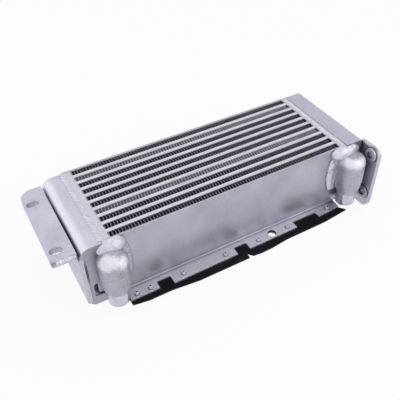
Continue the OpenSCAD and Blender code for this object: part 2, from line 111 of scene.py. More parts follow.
class Look:
    """A procedural material whose coordinates are millimetres in W."""

    def __init__(self, name, metallic, roughness):
        self.mat = bpy.data.materials.new(name)
        self.mat.use_nodes = True
        self.tree = self.mat.node_tree
        self.bsdf = self.tree.nodes["Principled BSDF"]
        self.bsdf.inputs["Metallic"].default_value = metallic
        self.bsdf.inputs["Roughness"].default_value = roughness
        coord = self.add("ShaderNodeTexCoord")
        scaled = self.add("ShaderNodeVectorMath", operation="SCALE")
        scaled.inputs["Scale"].default_value = 1000
        self.join(coord.outputs["Object"], scaled.inputs[0])
        moved = self.add("ShaderNodeVectorMath", operation="SUBTRACT")
        self.join(scaled.outputs[0], moved.inputs[0])
        moved.inputs[1].default_value = ORIGIN
        self.w = moved.outputs[0]

    def add(self, kind, **props):
        """A new node with these settings."""
        made = self.tree.nodes.new(kind)
        for key, value in props.items():
            setattr(made, key, value)
        return made

    def join(self, a, b):
        """Links an output to an input."""
        self.tree.links.new(a, b)

    def put(self, target, value):
        """Links a socket or sets a number."""
        if isinstance(value, bpy.types.NodeSocket):
            self.join(value, target)
        else:
            target.default_value = value

    def noise(self, size, detail=3, stretch=(1, 1, 1), shift=0.0):
        """Soft noise whose lumps are about size millimetres, longer along a stretched axis."""
        at = self.add("ShaderNodeMapping")
        at.inputs["Scale"].default_value = [1 / (size * s) for s in stretch]
        at.inputs["Location"].default_value = (shift, shift * 0.7, -shift)
        self.join(self.w, at.inputs["Vector"])
        made = self.add("ShaderNodeTexNoise")
        made.inputs["Scale"].default_value = 1
        made.inputs["Detail"].default_value = detail
        self.join(at.outputs[0], made.inputs["Vector"])
        return made.outputs["Fac"]

    def ramp(self, value, *stops):
        """Colours, or greys from numbers, along a value."""
        made = self.add("ShaderNodeValToRGB")
        steps = made.color_ramp.elements
        while len(steps) < len(stops):
            steps.new(0.5)
        for step, (at, colour) in zip(steps, stops):
            step.position = at
            step.color = (*colour, 1) if isinstance(colour, tuple) else (colour,) * 3 + (1,)
        self.join(value, made.inputs["Fac"])
        return made.outputs["Color"]

    def sums(self, operation, a, b):
        """A sum, product or other operation on two values."""
        made = self.add("ShaderNodeMath", operation=operation)
        self.put(made.inputs[0], a)
        self.put(made.inputs[1], b)
        return made.outputs[0]

    def blend(self, share, a, b, kind="MIX"):
        """Colour a with a share of colour b over it."""
        made = self.add("ShaderNodeMix", data_type="RGBA", blend_type=kind)
        self.put(made.inputs[0], share)
        for target, value in ((made.inputs[6], a), (made.inputs[7], b)):
            self.put(target, (*value, 1) if isinstance(value, tuple) else value)
        return made.outputs[2]

    def axis(self, name, low, high):
        """0 to 1 along W's X, Y or Z, from low to high millimetres."""
        split = self.add("ShaderNodeSeparateXYZ")
        self.join(self.w, split.inputs[0])
        return self.span(split.outputs[name], low, high)

    def span(self, value, low, high):
        """0 to 1, eased, as a value goes from low to high."""
        made = self.add("ShaderNodeMapRange", interpolation_type="SMOOTHSTEP")
        self.join(value, made.inputs["Value"])
        made.inputs["From Min"].default_value = low
        made.inputs["From Max"].default_value = high
        return made.outputs["Result"]

    def near(self, point, radii, inner=0.2):
        """1 within an inner part of the ellipsoid of these radii at a W point, falling to 0 on it."""
        off = self.add("ShaderNodeVectorMath", operation="SUBTRACT")
        self.join(self.w, off.inputs[0])
        off.inputs[1].default_value = point
        part = self.add("ShaderNodeVectorMath", operation="DIVIDE")
        self.join(off.outputs[0], part.inputs[0])
        part.inputs[1].default_value = radii
        size = self.add("ShaderNodeVectorMath", operation="LENGTH")
        self.join(part.outputs[0], size.inputs[0])
        return self.span(size.outputs["Value"], 1.0, inner)

    def bump(self, height, depth, below=None):
        """Adds relief of depth millimetres."""
        made = self.add("ShaderNodeBump")
        made.inputs["Distance"].default_value = depth * 0.001
        self.join(height, made.inputs["Height"])
        if below:
            self.join(below, made.inputs["Normal"])
        self.join(made.outputs[0], self.bsdf.inputs["Normal"])
        return made.outputs[0]

    def finish(self, colour, roughness):
        """Gives the shader its colour and roughness maps."""
        self.join(colour, self.bsdf.inputs["Base Color"])
        self.join(roughness, self.bsdf.inputs["Roughness"])
        return self.mat


def satin(name, dark, light, rough, grain=(1, 1, 1), worn=0.05, shift=0.0, marks=(), shades=()):
    """Rolled or extruded aluminium: cloudy tone, fine grain along the rolling direction, small scuffs.

    Each mark is a place, its radii, its inner part and its colour, for a stain, or for painted shade in a
    hollow, gap or hole or round a part.
    Each shade is an axis, two places on it, its strength and its colour.
    """
    k = Look(name, 0.92, rough)
    cloud = k.noise(34, 3, shift=shift)
    tone = k.ramp(cloud, (0.32, dark), (0.68, light))
    fine = k.noise(0.5, 2, grain, shift)
    tone = k.blend(0.12, tone, k.ramp(fine, (0.35, 0.25), (0.65, 0.9)), "OVERLAY")
    scuff = k.span(k.noise(2.2, 5, (3, 1, 1), shift + 4), 0.63, 0.72)
    tone = k.blend(k.sums("MULTIPLY", scuff, worn * 4), tone, (0.86, 0.85, 0.90))
    for along, low, high, share, colour in shades:
        tone = k.blend(k.sums("MULTIPLY", k.axis(along, low, high), share), tone, colour)
    for place_w, radii, inner, colour in marks:
        tone = k.blend(k.near(place_w, radii, inner), tone, colour)
    rough_map = k.ramp(k.noise(7, 4, shift=shift + 9), (0.3, rough - 0.06), (0.7, rough + 0.08))
    first = k.bump(fine, 0.02)
    k.bump(k.noise(9, 2, shift=shift + 2), 0.06, first)
    return k.finish(tone, rough_map)


def plate_look():
    """The folded side plate: its front darker low down, in soft uneven patches, a painted reflection of a
    darker floor.
    """
    k = Look("plate", 0.9, 0.36)
    tone = k.ramp(k.noise(42, 3), (0.34, (0.41, 0.405, 0.465)), (0.66, (0.51, 0.50, 0.575)))
    # painted reflection: the front darker low down, in soft patches
    low = k.axis("Z", -34, -80)
    cloud = k.span(k.noise(30, 2, (1.7, 1, 1), 3), 0.40, 0.66)
    dark = k.sums("MULTIPLY", low, k.sums("ADD", k.sums("MULTIPLY", cloud, 0.4), 0.2))
    tone = k.blend(k.sums("MULTIPLY", dark, k.axis("Y", -3, -1)), tone, (0.24, 0.238, 0.28))
    # painted light: the flange lighter where it faces up
    tone = k.blend(k.sums("MULTIPLY", k.axis("Y", -1.5, -5), 0.8), tone, (0.80, 0.79, 0.84))
    # painted shadow under the outlet's weld pad
    pad_shadow = k.near((260, -1, -63), (13, 3, 9), 0.1)
    tone = k.blend(k.sums("MULTIPLY", pad_shadow, 0.85), tone, (0.08, 0.08, 0.10))
    # painted shadow round the foot of each rivet
    for x, y in RIVETS:
        tone = k.blend(k.near((x, y, -73), (3.4, 3.4, 3), 0.55), tone, (0.16, 0.16, 0.19))
    # painted shade in the locating hole
    tone = k.blend(k.near(LOCATING_HOLE, (4.85, 4.85, 9), 0.95), tone, (0.02, 0.02, 0.025))
    fine = k.noise(0.5, 2, (6, 1, 1))
    tone = k.blend(0.10, tone, k.ramp(fine, (0.35, 0.3), (0.65, 0.85)), "OVERLAY")
    k.bump(fine, 0.015)
    return k.finish(tone, k.ramp(k.noise(8, 4), (0.3, 0.40), (0.7, 0.50)))


def cast_look():
    """Sand cast aluminium: pitted, brighter on the shoulders as a painted highlight, with painted shade on
    the dome tops and a painted light patch on the outlet, and one brown stain on the inlet's front.
    """
    k = Look("cast", 0.85, 0.50)
    pits = k.noise(1.1, 5)
    lumps = k.noise(4.5, 3, shift=5)
    tone = k.ramp(
        pits, (0.30, (0.35, 0.345, 0.40)), (0.52, (0.46, 0.45, 0.52)), (0.72, (0.55, 0.54, 0.61))
    )
    smoother = k.axis("Z", -26, -42)
    tone = k.blend(k.sums("MULTIPLY", smoother, 0.75), tone, (0.43, 0.425, 0.50))
    cloudy = k.ramp(lumps, (0.3, (0.36, 0.355, 0.42)), (0.7, (0.58, 0.57, 0.64)))
    tone = k.blend(0.30, tone, cloudy)
    # painted highlight: the outlet's shoulder band and lobes on the inlet's front left, speckled by the pits
    shoulder = k.sums("MULTIPLY", k.axis("Z", -20, -10), k.axis("Z", -4.6, -8))
    shoulder = k.sums("MULTIPLY", shoulder, k.axis("X", MIDDLE, 2 * MIDDLE))
    highlight_lobes = k.near((-13.5, -18, -9), (12, 14, 11), 0.3)
    highlight_lobes = k.sums("MAXIMUM", highlight_lobes, k.near((2, -22, -12), (10, 10, 8.5), 0.3))
    highlight_lobes = k.sums("MAXIMUM", highlight_lobes, k.near((-8, -21, -8), (12, 11, 8.5), 0.3))
    bright = k.sums("MAXIMUM", shoulder, k.sums("MULTIPLY", highlight_lobes, 0.95))
    # painted shade on the dome tops
    crown_shade = k.sums("MULTIPLY", k.axis("Z", -9, -6), k.axis("X", -4, 4))
    tone = k.blend(k.sums("MULTIPLY", crown_shade, 0.5), tone, (0.34, 0.335, 0.40))
    speckle = k.sums("MULTIPLY", k.sums("SUBTRACT", pits, 0.5), 1.5)
    speckled = k.span(k.sums("ADD", bright, speckle), 0.05, 1.05)
    tone = k.blend(speckled, tone, (0.80, 0.79, 0.85))
    # painted light: a lighter patch on the outlet's front right
    lit_patch = k.sums("MULTIPLY", k.near((273, -21, -32), (10, 11, 20), 0.3), 0.55)
    tone = k.blend(lit_patch, tone, (0.64, 0.63, 0.69))
    broken = k.ramp(k.noise(2.4, 4, shift=8), (0.36, 0.15), (0.62, 0.9))
    spot = k.sums("MULTIPLY", k.near((-3, -25, -23), (6, 8, 7)), 0.8)
    run = k.sums("MULTIPLY", k.near((-1, -24, -35), (7, 9, 17)), 0.45)
    stain = k.sums("MULTIPLY", k.sums("MAXIMUM", spot, run), broken)
    tone = k.blend(stain, tone, (0.27, 0.225, 0.21))
    first = k.bump(lumps, 0.25)
    k.bump(pits, 0.13, first)
    return k.finish(tone, k.ramp(pits, (0.3, 0.57), (0.7, 0.45)))


def turned_look():
    """Turned spigot: fine rings round its axis."""
    k = Look("turned", 0.95, 0.30)
    rings = k.noise(0.45, 2, (60, 60, 1))
    tone = k.ramp(k.noise(6, 3), (0.3, (0.50, 0.49, 0.57)), (0.7, (0.66, 0.65, 0.73)))
    k.bump(rings, 0.02)
    return k.finish(tone, k.ramp(rings, (0.3, 0.26), (0.7, 0.38)))


def bead_look():
    """Weld metal: bright and smooth, with dull oxide freckles."""
    k = Look("bead", 0.9, 0.46)
    soot = k.span(k.noise(1.3, 5, shift=3), 0.60, 0.74)
    tone = k.ramp(k.noise(5, 3), (0.3, (0.60, 0.59, 0.665)), (0.7, (0.74, 0.73, 0.80)))
    tone = k.blend(k.sums("MULTIPLY", soot, 0.4), tone, (0.44, 0.43, 0.48))
    # painted shade in the ripple troughs
    groove_shade = k.add("ShaderNodeAttribute", attribute_name="groove_shade").outputs["Fac"]
    tone = k.blend(k.sums("MULTIPLY", groove_shade, 0.5), tone, (0.34, 0.335, 0.38))
    shaded = k.sums("MULTIPLY", k.near((11, -5, -34), (18, 12, 34), 0.7), 0.85)
    tone = k.blend(shaded, tone, (0.40, 0.395, 0.45))
    # painted shade: the blob's end darker, to dull its highlight
    blob_end_shade = k.sums("MULTIPLY", k.near((9, -6, 1), (9, 11, 8), 0.3), 0.3)
    tone = k.blend(blob_end_shade, tone, (0.46, 0.455, 0.51))
    first = k.bump(k.noise(2.0, 3), 0.12)
    k.bump(k.noise(0.6, 2), 0.03, first)
    return k.finish(tone, k.ramp(soot, (0.0, 0.44), (1.0, 0.6)))


def core_look():
    """Brazed bars and sheets: smooth bright metal with faint braze runs along the row."""
    k = Look("brazed", 0.9, 0.36)
    runs = k.noise(2.2, 3, (12, 1, 1))
    tone = k.ramp(runs, (0.3, (0.56, 0.55, 0.63)), (0.7, (0.74, 0.73, 0.81)))
    # painted shade: the sides of the bars and sheets go dark below the top, into the core
    low = k.axis("Z", -0.15, -2.5)
    ends = k.sums("MAXIMUM", k.axis("X", 0.5, -0.5), k.axis("X", CORE_END - 0.5, CORE_END + 0.5))
    tone = k.blend(k.sums("MULTIPLY", ends, 0.85), tone, (0.57, 0.56, 0.64))
    tone = k.blend(low, tone, (0.02, 0.02, 0.026))
    k.bump(runs, 0.05)
    return k.finish(tone, k.ramp(k.noise(3, 3), (0.3, 0.30), (0.7, 0.44)))


def fin_look(name, edge, face, deep, reach):
    """Thin fin stock: bright cut edges, faces that catch light down to a reach, and channels in shade."""
    k = Look(name, 0.6, 0.45)
    k.bsdf.inputs["Specular IOR Level"].default_value = 0.08
    below = k.axis("Z", reach - CORE_DEPTH, 0.1 - CORE_DEPTH)
    inside = k.sums("SUBTRACT", k.axis("Z", -0.1, -reach), below)
    facing = k.add("ShaderNodeSeparateXYZ")
    k.join(k.add("ShaderNodeNewGeometry").outputs["Normal"], facing.inputs[0])
    cut = k.span(k.sums("ABSOLUTE", facing.outputs["Z"], 0.0), 0.6, 0.9)
    tone = k.blend(cut, face, edge)
    tone = k.blend(inside, tone, deep)
    grain = k.ramp(k.noise(3.0, 3, (4, 1, 1)), (0.3, 0.6), (0.7, 1.0))
    tone = k.blend(1.0, tone, grain, "MULTIPLY")
    k.bump(k.noise(0.4, 2), 0.02)
    return k.finish(tone, k.ramp(k.noise(5, 2), (0.3, 0.36), (0.7, 0.5)))


def rubber_look():
    """Black rubber strip: matt, with grey dust in patches and faint drag lines along it."""
    k = Look("rubber", 0.0, 0.55)
    k.bsdf.inputs["Specular IOR Level"].default_value = 0.12
    dust = k.span(k.noise(9, 5, (2, 1, 1)), 0.52, 0.78)
    drag = k.noise(0.7, 3, (14, 1, 1))
    tone = k.blend(k.sums("MULTIPLY", dust, 0.35), (0.006, 0.006, 0.008), (0.035, 0.035, 0.042))
    first = k.bump(drag, 0.05)
    k.bump(k.noise(6, 2), 0.3, first)
    return k.finish(tone, k.ramp(drag, (0.3, 0.48), (0.7, 0.64)))


# Painted shade: the dark inside of a gap, slit or hole, where no light reaches.
PAINTED_SHADE = (0.045, 0.045, 0.055)
TANK = satin(
    "tank", (0.53, 0.52, 0.615), (0.60, 0.59, 0.69), 0.42, (1, 8, 1), 0.05, 0.0,
    shades=[
        # painted highlight: the left tank's rounded outer edge lighter
        ("X", -19, -28, 0.8, (0.86, 0.85, 0.92)),
        ("X", 250, 256, 0.35, (0.35, 0.345, 0.41)),
        ("Y", -3.05, -3.35, 1.0, (0.38, 0.375, 0.43)),
    ],
    marks=[
        # painted shade: dark in the left front cap's recess, and dark lines in the gaps at the bracket's leg
        # and under its plate
        ((-17.5, -1.0, -54), (9, 1.9, 11), 0.6, PAINTED_SHADE),
        ((-26.7, -3.4, -27), (0.5, 3, 18), 0.6, PAINTED_SHADE),
        ((-31.2, 27, -7.5), (1.7, 44, 5.0), 0.6, PAINTED_SHADE),
    ],
)
BRACKET = satin(
    "bracket", (0.46, 0.455, 0.55), (0.575, 0.565, 0.66), 0.40, (1, 6, 1), 0.06, 11,
    marks=[
        ((-53.5, 0, -4), (6, 5, 4), 0.1, (0.30, 0.27, 0.27)),
        # painted shade: dark lines in the gaps beside the tank, at the leg's front and along the plate's
        # inner edge
        ((-27.9, -3.4, -27), (0.5, 3, 18), 0.6, PAINTED_SHADE),
        ((-31.5, 27, -6.6), (0.6, 60, 4.3), 0.7, PAINTED_SHADE),
    ],
)
EAR = satin(
    "ear", (0.46, 0.45, 0.53), (0.58, 0.57, 0.66), 0.38, (1, 1, 5), 0.07, 23,
    # painted shadow: a dark ring round each weld nut on the ear's face; painted shade in the gap between the
    # ear and the tank
    marks=[((284, NUT_Y, z), (4, 9.6, 9.6), 0.8, (0.13, 0.13, 0.155)) for z in NUT_ZS]
    + [((283, -1, -4), (3.5, 7, 10), 0.2, PAINTED_SHADE)],
)
RIVET = satin(
    "rivet", (0.74, 0.73, 0.80), (0.86, 0.85, 0.91), 0.34, (1, 1, 1), 0.03, 31,
    # painted shade: darker round the foot of each set end, and dark in each set end's hole
    shades=[("Z", -71.5, -73.3, 0.8, (0.10, 0.10, 0.12))],
    marks=[((x, y, RIVET_TOP - 1), (1.0, 1.0, 2.5), 0.9, (0.01, 0.01, 0.012)) for x, y in RIVETS],
)
NUT = satin(
    "nut", (0.42, 0.41, 0.48), (0.55, 0.54, 0.61), 0.34, (1, 1, 1), 0.05, 41,
    # painted shade: the lower nut darker, in the elbow's shadow; dark in the nut holes
    shades=[("Z", -46, -51, 0.5, (0.20, 0.195, 0.23))],
    marks=[((NUT_X, NUT_Y, z), (9, 4.1, 4.1), 0.9, PAINTED_SHADE) for z in NUT_ZS],
)
PLATE = plate_look()
CAST = cast_look()
TURNED = turned_look()
BEAD = bead_look()
CORE = core_look()
FIN_DARK = (
    fin_look("fin_dark_shaded", (0.02, 0.02, 0.024), (0.005, 0.005, 0.006), (0.002, 0.002, 0.003), 1.0),
    fin_look("fin_dark_lit", (0.68, 0.67, 0.74), (0.03, 0.03, 0.04), (0.002, 0.002, 0.003), 1.2),
)
FIN_LIGHT = (
    fin_look("fin_light_shaded", (0.42, 0.415, 0.48), (0.26, 0.26, 0.30), (0.12, 0.12, 0.14), 3.0),
    fin_look("fin_light_lit", (0.95, 0.94, 1.0), (0.80, 0.79, 0.87), (0.26, 0.26, 0.30), 4.0),
)
RUBBER = rubber_look()


# Pieces


def piece(name, mesh, mat, slot, *stands_for):
    """Links a mesh as a piece on the part, with its material; slot is not used."""
    obj = bpy.data.objects.new(name, mesh)
    bpy.context.scene.collection.objects.link(obj)
    mesh.materials.clear()
    mesh.materials.append(mat)
    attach(obj, "root")
    if stands_for:
        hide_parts(*stands_for)
    return obj


def mesh_of(name, points, faces):
    """A mesh from W millimetres."""
    mesh = bpy.data.meshes.new(name)
    mesh.from_pydata(metres(points).tolist(), [], faces)
    return mesh


def smooth(mesh, angle=None):
    """Smooth shading, with edges over angle degrees kept sharp."""
    mesh.polygons.foreach_set("use_smooth", [True] * len(mesh.polygons))
    if angle:
        mesh.set_sharp_from_angle(angle=math.radians(angle))


def with_modifiers(node, settings, core=None):
    """A copy of a node's mesh, joined to a core, with a list of (kind, values) modifiers applied."""
    both = bmesh.new()
    both.from_mesh(nodes[node].data)
    if core:
        both.from_mesh(core)
    start = bpy.data.meshes.new("start")
    both.to_mesh(start)
    both.free()
    work = bpy.data.objects.new("work", start)
    bpy.context.scene.collection.objects.link(work)
    smooth(work.data)
    for kind, values in settings:
        m = work.modifiers.new(kind.lower(), kind)
        for key, value in values.items():
            setattr(m, key, value)
    graph = bpy.context.evaluated_depsgraph_get()
    mesh = bpy.data.meshes.new_from_object(work.evaluated_get(graph))
    bpy.data.objects.remove(work)
    return mesh


MERGE = ("WELD", {"merge_threshold": 1e-5})


def edged(node, mat, slot, width, segments=3):
    """A node's shape with its sharp edges broken by width millimetres and its flats kept true."""
    flats = ("DECIMATE", {"decimate_type": "DISSOLVE", "angle_limit": math.radians(1)})
    rounded = {
        "width": width * 0.001,
        "segments": segments,
        "limit_method": "ANGLE",
        "angle_limit": math.radians(30),
        "miter_outer": "MITER_ARC",
    }
    mesh = with_modifiers(
        node, [MERGE, flats, ("BEVEL", rounded), ("TRIANGULATE", {}), ("WEIGHTED_NORMAL", {"weight": 100})]
    )
    mesh.name = node + "_edged"
    return piece(node + "_edged", mesh, mat, slot, node)


def skinned(node, mat, slot, voxel, rounds, shape, core=None):
    """A node's shape as one organic skin; shape(w, normals) gives each point's move in millimetres.

    A core is a mesh just below another piece's face, over which the skin then flows.
    """
    skin = ("REMESH", {"mode": "VOXEL", "voxel_size": voxel * 0.001})
    mesh = with_modifiers(node, [MERGE, skin, ("SMOOTH", {"factor": 0.6, "iterations": rounds})], core)
    mesh.name = node + "_skin"
    obj = piece(node + "_skin", mesh, mat, slot, node)
    moved(obj, shape)
    smooth(mesh)
    return obj


def moved(obj, shape):
    """Moves an object's vertices by shape(w, normals), in millimetres."""
    normals = np.empty(len(obj.data.vertices) * 3)
    obj.data.vertices.foreach_get("normal", normals)
    w = millimetres(obj)
    place(obj, w + shape(w, normals.reshape(-1, 3)))


def lathe(profile, centre, points, faces, segments=64):
    """Adds a closed body turned about Z to a mesh in the making, from its (radius, z) profile."""
    rings = []
    for r, z in profile:
        count = 1 if r == 0 else segments
        rings.append((len(points), count))
        for k in range(count):
            turn = 2 * math.pi * k / segments
            points.append((centre[0] + r * math.cos(turn), centre[1] + r * math.sin(turn), z))
    for (a, many_a), (b, many_b) in zip(rings, rings[1:]):
        for k in range(segments):
            m = (k + 1) % segments
            if many_a == 1:
                faces.append((a, b + m, b + k))
            elif many_b == 1:
                faces.append((a + k, a + m, b))
            else:
                faces.append((a + k, a + m, b + m, b + k))


def lumps(w, size, seed):
    """Smooth repeatable unevenness from -1 to 1, its lumps about size millimetres."""
    rng = np.random.default_rng(seed)
    total = np.zeros(len(w))
    for _ in range(9):
        way = rng.normal(size=3)
        way *= (2 * math.pi / size) * rng.uniform(0.5, 1.3) / np.linalg.norm(way)
        total += np.sin(w @ way + rng.uniform(0, 6.3))
    return total / 4.5


# Welds


def ripples(phase, pitch, seed):
    """Stacked weld ripples: each rises fast and falls slowly, with an uneven pitch."""
    bent = phase / pitch + 0.35 * np.sin(phase * 0.21 + seed) + 0.2 * np.sin(phase * 0.53 + 2 * seed)
    step = bent - np.floor(bent)
    return np.sin(math.pi * step**0.7) ** 0.8


def proud(w):
    """0 in or just above a cast body, 1 from a millimetre above it: the castings keep their skin."""
    free = np.ones(len(w))
    for centre in (INLET, OUTLET):
        out = np.hypot(w[:, 0] - centre[0], w[:, 1] - centre[1])
        dome = np.maximum(w[:, 2] - (DOME_TOP - DOME_HEIGHT), 0)
        above = (np.hypot(out / BODY_R, dome / DOME_HEIGHT) - 1) * DOME_HEIGHT
        free = np.minimum(free, np.clip(above, 0, 1))
    return free


def weld(node, phase_of, pitch, height, voxel=0.3, rounds=4, uneven=0.25, core=None):
    """A weld bead with ripples across the run that phase_of measures; it gives their strength too."""
    grooves = []

    def shape(w, n):
        phase, strength = phase_of(w)
        wave = ripples(phase, pitch, 1.7)
        free = proud(w)
        # painted shade for the ripple troughs, carried to the bead's colour
        grooves.append(np.clip(1 - 1.7 * wave, 0, 1) * strength)
        out = height * strength * (wave - 0.5) + uneven * lumps(w, 5, 5)
        return n * (free * out)[:, None]

    skin = skinned(node, BEAD, "bead", voxel, rounds, shape, core)
    skin.data.attributes.new("groove_shade", "FLOAT", "POINT").data.foreach_set("value", grooves[0])


def tank_run(w):
    """Along Y on the tank's long beads, along Z on its rear corner; each ripple bows across the bead."""
    rear = w[:, 1] > TANK_END + 0.01
    side = np.where(w[:, 0] < MIDDLE, w[:, 0] + 9, w[:, 0] - 259)
    return np.where(rear, w[:, 2], w[:, 1] + 0.45 * side), 1.0


def pad_run(w):
    """Down the front plate, sagging towards the elbow; the blob on top is smooth."""
    side = np.where(w[:, 0] < MIDDLE, w[:, 0] - 10, 254 - w[:, 0])
    return w[:, 2] + 0.35 * side + 0.3 * w[:, 1], np.clip((-12 - w[:, 2]) / 6, 0, 1)


def bracket_run(w):
    """Along X on the plate's front edge, else along Y below the plate."""
    return np.where(w[:, 2] > -8, w[:, 0], w[:, 1]), 1.0


def foot_run(w):
    """Along Y on the ear's foot."""
    return w[:, 1], 1.0


# Port elbows


def body_profile(inside=0.0):
    """Half outline of the cast body, or of one that lies inside it by so many millimetres."""
    top, height, radius = DOME_TOP - inside, DOME_HEIGHT, BODY_R - inside
    dome, taper = top - height, SPIGOT_STEP + 17
    foot = FOOT_R - inside
    drop, draw = taper - SPIGOT_STEP, radius - foot
    arc = (drop * drop + draw * draw) / (2 * draw)
    body = [(0.0, SPIGOT_STEP), (foot - 0.5, SPIGOT_STEP), (foot - 0.1, SPIGOT_STEP + 0.25)]
    rising = np.arange(SPIGOT_STEP + 0.7, taper, 0.6)
    body += [(radius - arc + math.sqrt(arc**2 - (taper - z) ** 2), z) for z in rising]
    body += [(radius, z) for z in np.arange(taper, dome, 0.6)]
    body += [(radius * math.cos(a), dome + height * math.sin(a)) for a in np.radians(np.arange(0, 90, 2.5))]
    return body + [(0.0, top)]


def cut_back(w, behind):
    """Flattens a body's points on the core's front and, where behind, on the tank's end."""
    w[:, 1] = np.minimum(w[:, 1], np.where(behind(w[:, 0]), -3.42, -0.02))
    return w


def elbow_core(centre, behind):
    """The cast body drawn in a little, for the weld to flow over."""
    points, faces = [], []
    lathe(body_profile(0.5), centre, points, faces, 96)
    return mesh_of("elbow_core", cut_back(np.array(points), behind), faces)


def elbow_pieces(name, node, centre, behind):
    """The cast body above the step and the turned spigot below it."""
    points, faces = [], []
    lathe(body_profile(), centre, points, faces, 144)
    cast = piece(name + "_cast", mesh_of(name + "_cast", points, faces), CAST, "cast", node)

    def rough(w, n):
        free = np.clip((w[:, 2] - SPIGOT_STEP) / 3, 0, 1)
        return n * (free * (0.30 * lumps(w, 13, 3) + 0.05 * lumps(w, 2.4, 4)))[:, None]

    moved(cast, rough)
    end = SPIGOT_END
    turned = [(0, end + 15.5), (6, end + 15.5), (6, end + 14), (6.5, end + 14)]
    turned += [(6.5, end + 0.35), (6.6, end + 0.1), (6.85, end)]
    turned += [(PIPE_R - 0.4, end), (PIPE_R - 0.1, end + 0.12), (PIPE_R, end + 0.4), (PIPE_R, end + 8)]
    turned += [(PIPE_R, SPIGOT_STEP + 0.6), (0, SPIGOT_STEP + 0.6)]
    points, faces = [], []
    lathe(turned, centre, points, faces, 96)
    spigot = piece(name + "_spigot", mesh_of(name + "_spigot", points, faces), TURNED, "cast", node)
    for obj in (cast, spigot):
        place(obj, cut_back(millimetres(obj), behind))
        smooth(obj.data, 40)


# Rivets


def rivets():
    """Each set end has a rolled rim round a small deep hole; the head lies sunk in the rubber."""
    top, seat, low = RIVET_TOP, RIVET_SEAT, RIVET_LOW
    hole = [(0, top - 2.2), (0.8, top - 2.2), (0.82, top - 0.15), (1.0, top)]
    rim = [(1.6, top), (1.87, top - 0.12), (1.95, top - 0.4), (1.95, seat + 0.3), (2.15, seat + 0.02)]
    head = [(1.6, seat), (1.6, low + 1), (3.2, low + 1), (3.2, low + 0.2), (3.0, low), (0, low)]
    profile = hole + rim + head
    points, faces = [], []
    for centre in RIVETS:
        lathe(profile, centre, points, faces, 40)
    mesh = mesh_of("rivet_set", points, faces)
    smooth(mesh, 35)
    piece("rivet_set", mesh, RIVET, "rivet", "rivets")


# Lanced offset fins

FIN_LEGS, FIN_START = 164, 0.8
LIGHT_ROWS = (3, 8)


def leaning_run(first, legs, step, lean, low, high):
    """Centre line of a strip: up and down legs that lean apart, joined by flat crests."""
    points = []
    for i in range(legs):
        x = first + i * step
        ends = (low, high) if i % 2 == 0 else (high, low)
        points += [(x - lean, ends[0]), (x + lean, ends[1])]
    return np.array(points)


def strip(points, faces, lights, line, gauge, z0, z1):
    """Adds one strip of sheet between two depths to a mesh in the making.

    Every second leg leans to the light, so it and the crest after it get a 1 in lights.
    """
    ahead = np.vstack([line[1:] - line[:-1], line[-1:] - line[-2:-1]])
    behind = np.vstack([line[1:2] - line[:1], line[1:] - line[:-1]])

    def left(v):
        v = v / np.maximum(np.linalg.norm(v, axis=1), 1e-9)[:, None]
        return np.column_stack([-v[:, 1], v[:, 0]])

    off = left(ahead) + left(behind)
    off = off / np.maximum((off**2).sum(1), 1e-9)[:, None] * gauge
    a = len(points)
    for side in (off, -off):
        for z in (z0, z1):
            points.extend((p[0], p[1], z) for p in line + side)
    n = len(line)
    b, c, d = a + n, a + 2 * n, a + 3 * n
    for i in range(n - 1):
        faces.append((a + i, a + i + 1, b + i + 1, b + i))
        faces.append((c + i + 1, c + i, d + i, d + i + 1))
        faces.append((b + i, b + i + 1, d + i + 1, d + i))
        faces.append((a + i + 1, a + i, c + i, c + i + 1))
        lights += [1 if i % 4 < 2 else 0] * 4
    faces.append((a, b, d, c))
    faces.append((a + n - 1, c + n - 1, d + n - 1, b + n - 1))
    lights += [1, 0]


def fin_row(i):
    """One air fin as lanced strips, each shifted by half a leg step against the next."""
    step, lean, gauge, depth = 1.55, 0.3, 0.34, 3.0
    low = SIDE + i * PITCH + gauge / 2
    high = SIDE + i * PITCH + FIN_HEIGHT - gauge / 2
    top, bottom = -0.2, -CORE_DEPTH + 0.2
    cuts = [top - depth * k for k in range(5)] + [bottom + depth * k for k in range(4, -1, -1)]
    points, faces, lights = [], [], []
    for k in range(len(cuts) - 1):
        shift = 0.0 if k % 2 == 0 else step / 2
        line = leaning_run(FIN_START + shift, FIN_LEGS, step, lean, low, high)
        strip(points, faces, lights, line, gauge, cuts[k + 1], cuts[k])
    shaded, lit = FIN_LIGHT if i in LIGHT_ROWS else FIN_DARK
    name = f"fin_row_{i + 1}"
    row_piece = piece(name, mesh_of(name, points, faces), shaded, "fin", f"air_fin_{i + 1}")
    row_piece.data.materials.append(lit)
    row_piece.data.polygons.foreach_set("material_index", lights)


# Camera, light and floor

CAMERA_AT = (-0.0832, -0.3150, 0.4119)
AZIMUTH, DOWN, ROLL = (math.radians(v) for v in (28.543, 42.473, -1.26))
SENSOR, LENS = 36, 49.16
FLOOR_HALF, FLOOR_GAP = 6, 0.0003


def camera():
    """The photograph's camera, solved from the core's edges."""
    ahead = Vector((math.sin(AZIMUTH) * math.cos(DOWN), math.cos(AZIMUTH) * math.cos(DOWN), -math.sin(DOWN)))
    level = Vector((math.cos(AZIMUTH), -math.sin(AZIMUTH), 0))
    raised = level.cross(ahead)
    right = level * math.cos(ROLL) + raised * math.sin(ROLL)
    up = raised * math.cos(ROLL) - level * math.sin(ROLL)
    data = bpy.data.cameras.new("camera")
    data.sensor_width, data.lens = SENSOR, LENS
    data.clip_start, data.clip_end = 0.01, 20
    cam = bpy.data.objects.new("camera", data)
    turn = Matrix((right, up, -ahead)).transposed()
    cam.matrix_world = Matrix.Translation(CAMERA_AT) @ turn.to_4x4()
    bpy.context.scene.collection.objects.link(cam)
    bpy.context.scene.camera = cam


